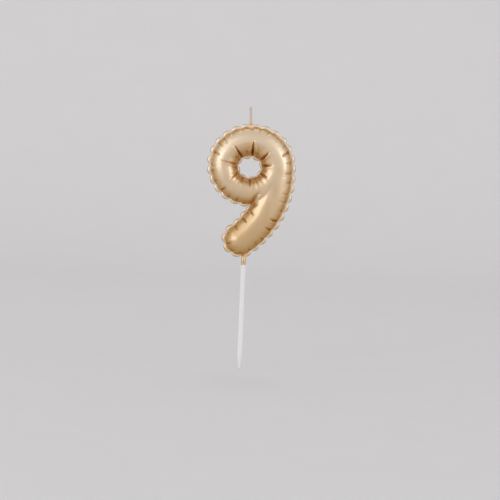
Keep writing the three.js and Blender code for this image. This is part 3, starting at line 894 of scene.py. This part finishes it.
def stick_profile():
    """[radius, height] pairs of the stick, from the point to the head in the wax."""
    radius = STICK_DIAMETER / 2
    foot = cad_box[0].z / MM
    top = STICK_SHOWN + STICK_IN_WAX
    profile = [
        (STICK_CAP_RADIUS, foot), (STICK_POINT_DIAMETER / 2, foot), (radius, foot + STICK_POINT_LENGTH),
    ]
    for i in range(ANCHOR_COUNT, 0, -1):
        height = top - i * ANCHOR_PITCH
        profile += [(radius, height), (radius + ANCHOR_PROUD, height), (radius, height + ANCHOR_HEIGHT)]
    return profile + [(radius, top), (STICK_CAP_RADIUS, top)]


def make_stick():
    """The pick, with the mould's parting line up both sides."""
    profile = rounded(stick_profile(), STICK_EDGE)
    angles = np.arange(STICK_SIDES) * 2 * math.pi / STICK_SIDES
    ridge = np.maximum(np.abs(np.cos(angles)) - PARTING_LINE_START, 0) / (1 - PARTING_LINE_START)
    centres = [(0, 0, height) for _, height in profile]
    radii = profile[:, :1] + PARTING_LINE * ridge * (profile[:, :1] > PARTING_LINE_LEAST_RADIUS)
    return make_mesh("pick", *tube(centres, radii, STICK_SIDES, np.array([0, 0, 1.0])))


def make_neck():
    """The lacquer film on the stick, from inside the wax down to a ragged lower edge."""
    radius = STICK_DIAMETER / 2
    low = STICK_SHOWN - NECK_LENGTH
    angles = np.arange(STICK_SIDES) * 2 * math.pi / STICK_SIDES
    rag = NECK_RAGGED / 2 * sum(
        rng.uniform(*NECK_WAVE_SIZES) * np.sin(waves * angles + rng.uniform(0, 2 * math.pi))
        for waves in NECK_EDGE_WAVES
    )
    rows = [
        (radius - NECK_FILM, 0, 0),
        (radius + NECK_FILM * NECK_EDGE_FILM_SHARE, 0, 1),
        (radius + NECK_FILM, NECK_EDGE_HEIGHT, 1),
        (radius + NECK_FILM, NECK_EVEN_HEIGHT, 0),
        (radius + NECK_FILM, NECK_LENGTH + NECK_IN_WAX, 0),
        (radius - NECK_FILM, NECK_LENGTH + NECK_IN_WAX, 0),
    ]
    vertices = [
        (r * math.cos(a), r * math.sin(a), low + rise + share * bump)
        for r, rise, share in rows for a, bump in zip(angles, rag)
    ]
    n = STICK_SIDES
    faces = [
        (row * n + j, row * n + k, above * n + k, above * n + j)
        for row, above in pairs(len(rows)) for j, k in pairs(n)
    ]
    return make_mesh("stick_lacquer", vertices, faces)


def wick_place(side, up):
    """A point of the leaning wick: mm to the side and in front of its axis, and up from its foot."""
    x, y = side
    c, s = math.cos(WICK_LEAN), math.sin(WICK_LEAN)
    return (wick_foot[0] + x * c + up * s, y, wick_foot[1] - x * s + up * c)


def make_fibre(tip):
    """Vertices and faces of one loose fibre at a yarn's tip."""
    lean, around = rng.uniform(*FIBRE_LEANS), rng.uniform(0, 2 * math.pi)
    length, start = rng.uniform(*FIBRE_LENGTHS), rng.uniform(*FIBRE_STARTS)
    out = np.array([math.cos(around), math.sin(around), 0])
    line = []
    for t in np.linspace(0, 1, FIBRE_SIDES):
        rise = t * (FIBRE_ROOT + length * FIBRE_RISE) - FIBRE_ROOT
        line.append(tip + out * (start + lean * t * t * length) + np.array([0, 0, rise]))
    radii = FIBRE_RADIUS * np.linspace(1, FIBRE_TIP_SHARE, len(line))
    return tube(line, radii[:, None], FIBRE_SIDES)


def make_wick():
    """Two yarns twisted round each other, which part towards the tip and end in loose fibres."""
    parts = []
    ups = np.arange(-WICK_IN_WAX, WICK_SHOWN + YARN_STEP, YARN_STEP)
    angles = np.arange(YARN_SIDES) * 2 * math.pi / YARN_SIDES
    for sign, short in zip((-1, 1), YARN_ENDS):
        own = ups[ups <= WICK_SHOWN - short]
        turned_by = YARN_START_TURN - YARN_TURN * np.clip(own / WICK_SHOWN, 0, 1)
        spread = np.clip((own - YARN_SPREAD_FROM) / YARN_SPREAD_LENGTH, 0, 1)**2
        apart = YARN_RADIUS * (YARN_OFFSET + YARN_SPREAD * spread)
        beside = np.full(len(own), sign * YARN_WOBBLE_SHIFT)
        wobble = YARN_WOBBLE * undulation(np.stack([own, beside], axis=1), YARN_WOBBLE_SIZE)
        centres = [
            wick_place((sign * a * math.cos(t) + w, sign * a * math.sin(t)), up)
            for a, t, w, up in zip(apart, turned_by, wobble, own)
        ]
        phase = angles[None, :] - 2 * math.pi * own[:, None] / YARN_TWIST_LENGTH
        radii = YARN_RADIUS * (1 - YARN_FLUTE_DEPTH * (1 - np.abs(np.sin(YARN_FLUTES / 2 * phase))))
        near_tip = np.clip((own[:, None] - own[-1] + YARN_TIP_LENGTH) / YARN_TIP_LENGTH, 0, 1)
        radii = radii * (1 - YARN_TIP_THINNING * near_tip**2)
        parts.append(tube(centres, radii, YARN_SIDES))
        tip = np.array(centres[-1])
        parts += [make_fibre(tip) for _ in range(FIBRE_COUNT)]
    return make_mesh("wick_yarns", *joined(parts))


def make_mound():
    """The low rise of wax round the wick."""
    foot, top = MOUND[0][1], MOUND[-1][1]
    profile = rounded([(MOUND_CAP_RADIUS, foot), *MOUND, (MOUND_CAP_RADIUS, top)], MOUND_EDGE)
    centres = [wick_place((0, 0), up) for _, up in profile]
    axis = np.array([math.sin(WICK_LEAN), 0, math.cos(WICK_LEAN)])
    return make_mesh("mound", *tube(centres, profile[:, :1], STICK_SIDES, axis))


def colour_mound(piece):
    """Gives the points that came with the mound their own share of the darkening, which makes it a
    deeper gold.
    """
    places = np.empty(3 * len(piece.data.vertices), np.float32)
    piece.data.vertices.foreach_get("co", places)
    x, y, z = (places.reshape(-1, 3) / MM - [wick_foot[0], 0, wick_foot[1]]).T
    c, s = math.cos(WICK_LEAN), math.sin(WICK_LEAN)
    up, aside = x * s + z * c, np.hypot(x * c - z * s, y)
    radii, ups = np.array(MOUND).T
    on_mound = (up > ups[0]) & (aside < np.interp(up, ups, radii) + MOUND_REACH)
    attribute = piece.data.attributes["painted_shade_and_highlight"]
    values = np.empty(len(on_mound), np.float32)
    attribute.data.foreach_get("value", values)
    attribute.data.foreach_set("value", np.where(on_mound, np.float32(MOUND_DARKENING), values))


def union(piece, other):
    """Joins another closed mesh into piece, and clears the slivers that the join leaves."""
    modifier = piece.modifiers.new("union", "BOOLEAN")
    modifier.operation = "UNION"
    modifier.solver = "EXACT"
    modifier.object = other
    with bpy.context.temp_override(object=piece, active_object=piece):
        bpy.ops.object.modifier_apply(modifier=modifier.name)
    bpy.data.objects.remove(other)
    mesh = bmesh.new()
    mesh.from_mesh(piece.data)
    bmesh.ops.remove_doubles(mesh, verts=mesh.verts, dist=JOIN_CLEARED)
    bmesh.ops.dissolve_degenerate(mesh, edges=mesh.edges, dist=JOIN_CLEARED)
    bmesh.ops.triangulate(mesh, faces=[face for face in mesh.faces if len(face.verts) > 3])
    mesh.to_mesh(piece.data)
    mesh.free()


def make_figure():
    """The wax: a front sheet and its mirror image, joined along the flange's edge."""
    points, edges = figure_points()
    edge_count = sum(len(edge) for edge in edges)
    loops, start = [], 0
    for edge in edges:
        loops += [(start + i, start + k) for i, k in pairs(len(edge))]
        start += len(edge)
    vertices = [Vector(p) for p in points.tolist()]
    found = delaunay_2d_cdt(vertices, loops, [], 0, MERGED_WITHIN)
    plane = np.array([tuple(v) for v in found[0]])
    triangles = np.array(found[2])
    centres = plane[triangles].mean(axis=1)
    triangles = triangles[is_inside(centres, edges[0]) & ~is_inside(centres, edges[1])]
    source = np.array([origins[0] if origins else -1 for origins in found[3]])
    on_edge = (source >= 0) & (source < edge_count)
    triangles = triangles[~on_edge[triangles].all(axis=1)]
    depth, painted_shade_and_highlight = half_depth(plane)
    depth[on_edge] = 0
    shifted = plane + figure_shift
    front = np.stack([shifted[:, 0], -depth, shifted[:, 1]], axis=1)
    back_index = np.where(on_edge, np.arange(len(plane)), 0)
    inner = np.flatnonzero(~on_edge)
    back_index[inner] = len(plane) + np.arange(len(inner))
    back = front[inner] * [1, -1, 1]
    faces = np.vstack([triangles, back_index[triangles][:, ::-1]])
    piece = make_mesh("figure", np.vstack([front, back]), faces)
    # The painted shade and highlight go with the points as an attribute that the material reads
    add_attribute(piece, "painted_shade_and_highlight", np.concatenate([painted_shade_and_highlight, painted_shade_and_highlight[inner]]))
    return piece


figure = make_figure()
union(figure, make_mound())
colour_mound(figure)
stick = make_stick()
neck = make_neck()
wick = make_wick()


def principled(name, **values):
    """A node material and its shader, with plain numbers on the shader's own sockets."""
    material = bpy.data.materials.new(name)
    material.use_nodes = True
    shader = material.node_tree.nodes["Principled BSDF"]
    for key, value in values.items():
        shader.inputs[key.replace("_", " ")].default_value = value
    return material, shader


class Painter:
    """Adds nodes to a material. Places are in the material's object, in metres."""

    def __init__(self, material):
        self.nodes = material.node_tree.nodes
        self.links = material.node_tree.links
        self.place = self.nodes.new("ShaderNodeTexCoord").outputs["Object"]

    def noise(self, scale, detail=2.0, stretch=None):
        node = self.nodes.new("ShaderNodeTexNoise")
        node.inputs["Scale"].default_value = scale
        node.inputs["Detail"].default_value = detail
        place = self.place
        if stretch:
            mapping = self.nodes.new("ShaderNodeMapping")
            mapping.inputs["Scale"].default_value = stretch
            self.links.new(place, mapping.inputs["Vector"])
            place = mapping.outputs["Vector"]
        self.links.new(place, node.inputs["Vector"])
        return node.outputs["Fac"]

    def attribute(self, name):
        node = self.nodes.new("ShaderNodeAttribute")
        node.attribute_name = name
        return node.outputs["Fac"]

    def ranged(self, value, low, high, to_low=0.0, to_high=1.0):
        """The value moved from one range to another, and kept inside it."""
        node = self.nodes.new("ShaderNodeMapRange")
        numbers = {"From Min": low, "From Max": high, "To Min": to_low, "To Max": to_high}
        for key, number in numbers.items():
            node.inputs[key].default_value = number
        self.links.new(value, node.inputs["Value"])
        return node.outputs["Result"]

    def height(self):
        """Height above the row's origin."""
        node = self.nodes.new("ShaderNodeSeparateXYZ")
        self.links.new(self.place, node.inputs["Vector"])
        return node.outputs["Z"]

    def computed(self, operation, a, b):
        node = self.nodes.new("ShaderNodeMath")
        node.operation = operation
        self.links.new(a, node.inputs[0])
        self.links.new(b, node.inputs[1])
        return node.outputs["Value"]

    def mixed(self, share, a, b):
        """A mix of two colours, each an output or three numbers."""
        node = self.nodes.new("ShaderNodeMix")
        node.data_type = "RGBA"
        self.links.new(share, node.inputs["Factor"])
        for key, colour in (("A", a), ("B", b)):
            if isinstance(colour, tuple):
                node.inputs[key].default_value = (*colour, 1)
            else:
                self.links.new(colour, node.inputs[key])
        return node.outputs["Result"]

    def bumped(self, shader, value, distance, strength=1.0):
        node = self.nodes.new("ShaderNodeBump")
        node.inputs["Strength"].default_value = strength
        node.inputs["Distance"].default_value = distance
        self.links.new(value, node.inputs["Height"])
        self.links.new(node.outputs["Normal"], shader.inputs["Normal"])


def gold_material():
    """Champagne lacquer under a clear coat, with painted shade that deepens the colour towards the
    bottom and along seams and creases, and painted highlight on the lobes.
    """
    material, shader = principled(
        "champagne_lacquer", Metallic=1.0, Coat_IOR=2.0, Coat_Roughness=0.16
    )
    paint = Painter(material)
    cloud = paint.noise(scale=160, detail=3)
    # Painted shade: a deeper, darker gold towards the bottom, with an uneven border
    uneven = paint.ranged(cloud, *NOISE_RANGE, -GOLD_HEIGHT_VARIATION, GOLD_HEIGHT_VARIATION)
    uneven_height = paint.computed("ADD", paint.height(), uneven)
    tone = paint.mixed(paint.ranged(uneven_height, *GOLD_HEIGHTS), GOLD_LOW, GOLD_HIGH)
    # Painted shade along seams and creases, painted highlight on the lobes, both from the mesh's
    # attribute
    patchy = paint.ranged(paint.noise(scale=420, detail=3), *NOISE_RANGE, *GOLD_PATCHINESS)
    painted_shade_and_highlight = paint.computed("MULTIPLY", paint.attribute("painted_shade_and_highlight"), patchy)
    painted_highlight = paint.mixed(paint.ranged(painted_shade_and_highlight, -1, 0, 1, 0), tone, GOLD_PAINTED_HIGHLIGHT)
    shaded_tone = paint.mixed(painted_shade_and_highlight, painted_highlight, GOLD_SHADE)
    darkest_shade = paint.ranged(painted_shade_and_highlight, *GOLD_DARKEST_SHADE_RANGE)
    paint.links.new(paint.mixed(darkest_shade, shaded_tone, GOLD_DARKEST_SHADE), shader.inputs["Base Color"])
    # The coat fades out where the painted shade is strong
    paint.links.new(paint.ranged(painted_shade_and_highlight, 0, GOLD_COAT_LOST_AT, 1, 0), shader.inputs["Coat Weight"])
    paint.links.new(paint.ranged(cloud, *NOISE_RANGE, *GOLD_ROUGHNESS), shader.inputs["Roughness"])
    paint.bumped(shader, paint.noise(scale=1500, detail=2), distance=0.00002, strength=0.3)
    return material


def plastic_material():
    """Moulded white plastic with faint flow marks along the stick."""
    material, shader = principled("moulded_plastic", IOR=1.5)
    paint = Painter(material)
    flow = paint.noise(scale=900, detail=3, stretch=(1, 1, 0.06))
    paint.links.new(paint.mixed(flow, PLASTIC_LIGHT, PLASTIC_DARK), shader.inputs["Base Color"])
    paint.links.new(paint.ranged(flow, *NOISE_RANGE, *PLASTIC_ROUGHNESS), shader.inputs["Roughness"])
    paint.bumped(shader, paint.noise(scale=2500, detail=2, stretch=(1, 1, 0.2)), distance=0.000008)
    return material


def cotton_material():
    """Waxed yarn: fibres along it, gold at the foot and grey at the tip."""
    material, shader = principled("waxed_yarn", Roughness=0.6, Sheen_Weight=0.15)
    paint = Painter(material)
    fibres = paint.noise(scale=3200, detail=3, stretch=(1, 1, 0.12))
    yarn = paint.mixed(fibres, COTTON_LIGHT, COTTON_DARK)
    height = paint.height()
    foot = wick_foot[1] * MM
    gilded = paint.ranged(height, *(foot + up for up in COTTON_GILDED_HEIGHTS), 1, 0)
    grey = paint.ranged(height, *(foot + up for up in COTTON_TIP_HEIGHTS), 0, COTTON_TIP_SHARE)
    tipped = paint.mixed(grey, yarn, COTTON_TIP)
    paint.links.new(paint.mixed(gilded, tipped, COTTON_GILDED), shader.inputs["Base Color"])
    paint.bumped(shader, fibres, distance=0.00004)
    return material


def paper_material():
    """Matt pale studio paper."""
    material, shader = principled("paper", Roughness=0.9, Specular_IOR_Level=0.1)
    paint = Painter(material)
    cloud = paint.noise(scale=30, detail=2)
    paint.links.new(paint.mixed(cloud, PAPER_LIGHT, PAPER_DARK), shader.inputs["Base Color"])
    return material


gold = gold_material()
for piece, material, replaced, slot in (
    (figure, gold, "wax_body", "gold_lacquered_wax"),
    (stick, plastic_material(), "stick", "white_plastic"),
    (neck, gold, None, "gold_lacquered_wax"),
    (wick, cotton_material(), "wick", "waxed_cotton"),
):
    piece.data.materials.append(material)
    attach(piece, "root")
    if replaced:
        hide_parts(replaced)

# Camera
camera_data = bpy.data.cameras.new("camera")
camera_data.sensor_width = SENSOR_WIDTH
camera_data.lens = SENSOR_WIDTH * CAMERA_DISTANCE / PHOTO_WIDTH
camera = bpy.data.objects.new("camera", camera_data)
bpy.context.scene.collection.objects.link(camera)
back = Vector((0, -math.cos(CAMERA_ELEVATION), math.sin(CAMERA_ELEVATION)))
up = Vector((0, math.sin(CAMERA_ELEVATION), math.cos(CAMERA_ELEVATION)))
right = Vector((1, 0, 0))
turned_right = right * math.cos(PHOTO_LEAN) + up * math.sin(PHOTO_LEAN)
turned_up = up * math.cos(PHOTO_LEAN) - right * math.sin(PHOTO_LEAN)
camera.matrix_world = Matrix.LocRotScale(
    PHOTO_CENTRE + back * CAMERA_DISTANCE,
    Matrix((turned_right, turned_up, back)).transposed().to_quaternion(),
    None,
)
bpy.context.scene.camera = camera


def softbox(name, azimuth, elevation, distance, width, height, power):
    """An area lamp that faces the figure and isn't seen itself."""
    data = bpy.data.lights.new(name, "AREA")
    data.shape = "RECTANGLE"
    data.size, data.size_y = width, height
    data.energy = power
    lamp = bpy.data.objects.new(name, data)
    a, e = math.radians(azimuth), math.radians(elevation)
    away = Vector((math.sin(a) * math.cos(e), -math.cos(a) * math.cos(e), math.sin(e)))
    lamp.location = LAMP_TARGET + away * distance
    lamp.rotation_euler = away.to_track_quat("Z", "Y").to_euler()
    lamp.visible_camera = False
    bpy.context.scene.collection.objects.link(lamp)


for lamp_name, numbers in LAMPS.items():
    softbox(lamp_name, *numbers)

world = bpy.data.worlds.new("world")
world.use_nodes = True
world.node_tree.nodes["Background"].inputs["Color"].default_value = (*WORLD_COLOUR, 1)
bpy.context.scene.world = world


def make_sweep():
    """Floor and backdrop in one bent sheet, just under the stick's point."""
    floor = cad_box[0].z - FLOOR_GAP
    profile = [(FLOOR_FRONT, floor), (0, floor), (FLOOR_BACK, floor)]
    for angle in np.linspace(0, math.pi / 2, SWEEP_STEPS + 1)[1:]:
        back = FLOOR_BACK + SWEEP_RADIUS * math.sin(angle)
        profile.append((back, floor + SWEEP_RADIUS * (1 - math.cos(angle))))
    profile.append((FLOOR_BACK + SWEEP_RADIUS, SWEEP_TOP))
    sides = (-SWEEP_HALF_WIDTH, SWEEP_HALF_WIDTH)
    vertices = [(x / MM, y / MM, z / MM) for x in sides for y, z in profile]
    count = len(profile)
    faces = [(i, count + i, count + i + 1, i + 1) for i in range(count - 1)]
    return make_mesh("sweep", vertices, faces)


sweep = make_sweep()
sweep.data.materials.append(paper_material())

bpy.context.scene.view_settings.view_transform = "Standard"
